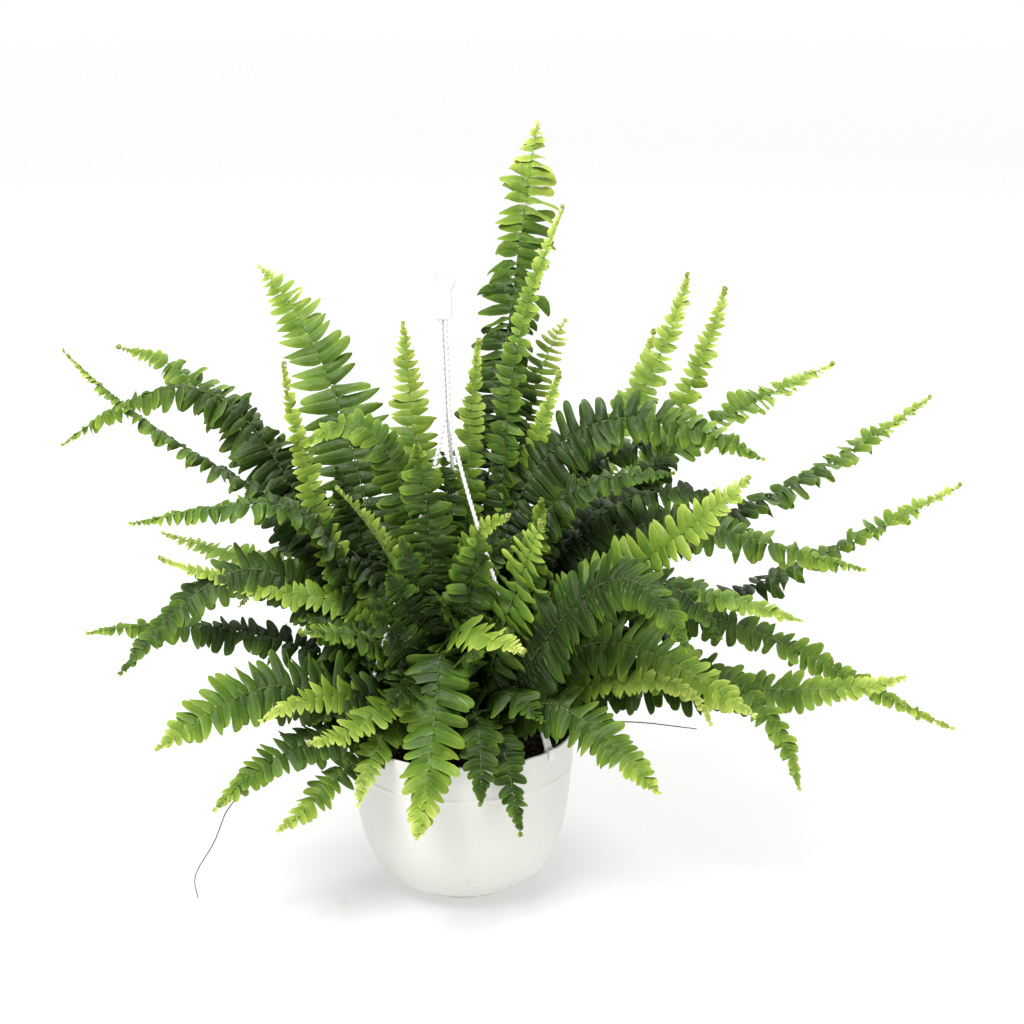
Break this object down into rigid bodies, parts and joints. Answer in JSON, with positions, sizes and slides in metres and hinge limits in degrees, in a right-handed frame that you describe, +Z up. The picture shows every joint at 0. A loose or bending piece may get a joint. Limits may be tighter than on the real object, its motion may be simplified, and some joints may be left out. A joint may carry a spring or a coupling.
{
  "type": "potted fern",
  "caption": "Sword fern with long arching and upright fronds in a white plastic bowl pot with a moulded three-strand hanger, standing on a table.",
  "frame": {"origin": "centre of the pot's flat underside, on the surface it stands on", "axes": "+Z up, -Y towards the front of the plant, +X to the right seen from the front"},
  "size_m": [0.7703, 0.5282, 0.623],
  "materials": {
    "pot_plastic": "satin",
    "hanger_plastic": "satin",
    "soil": "matte",
    "rhizome": "matte",
    "leaf_mature": "satin",
    "leaf_young": "satin",
    "leaf_dark": "satin",
    "runner": "matte"
  },
  "bodies": {
    "root": {"frond_back_1": "leaf_dark", "frond_back_2": "leaf_mature", "frond_back_3": "leaf_mature", "frond_back_4": "leaf_dark", "frond_back_5": "leaf_mature", "frond_back_6": "leaf_mature", "frond_centre_2": "leaf_young", "frond_centre_3": "leaf_mature", "frond_centre_4": "leaf_young", "frond_centre_5": "leaf_young", "frond_centre_6": "leaf_mature", "frond_centre_tall": "leaf_mature", "frond_front_1": "leaf_young", "frond_front_2": "leaf_mature", "frond_front_3": "leaf_dark", "frond_front_4": "leaf_dark", "frond_front_5": "leaf_young", "frond_front_6": "leaf_young", "frond_front_7": "leaf_young", "frond_left_1": "leaf_young", "frond_left_10": "leaf_mature", "frond_left_11": "leaf_mature", "frond_left_12": "leaf_young", "frond_left_13": "leaf_young", "frond_left_14": "leaf_dark", "frond_left_2": "leaf_young", "frond_left_3": "leaf_mature", "frond_left_4": "leaf_mature", "frond_left_5": "leaf_mature", "frond_left_6": "leaf_mature", "frond_left_7": "leaf_young", "frond_left_8": "leaf_mature", "frond_left_9": "leaf_mature", "frond_right_1": "leaf_mature", "frond_right_10": "leaf_mature", "frond_right_11": "leaf_mature", "frond_right_12": "leaf_mature", "frond_right_13": "leaf_young", "frond_right_14": "leaf_young", "frond_right_15": "leaf_young", "frond_right_16": "leaf_young", "frond_right_17": "leaf_dark", "frond_right_18": "leaf_dark", "frond_right_2": "leaf_mature", "frond_right_3": "leaf_dark", "frond_right_4": "leaf_mature", "frond_right_5": "leaf_mature", "frond_right_6": "leaf_mature", "frond_right_7": "leaf_mature", "frond_right_8": "leaf_mature", "frond_right_9": "leaf_mature", "hanger_hook": "hanger_plastic", "hanger_strand_1": "hanger_plastic", "hanger_strand_2": "hanger_plastic", "hanger_strand_3": "hanger_plastic", "pot": "pot_plastic", "potting_soil": "soil", "rhizome_crown": "rhizome", "runner_left": "runner", "runner_right": "runner"}
  },
  "joints": []
}
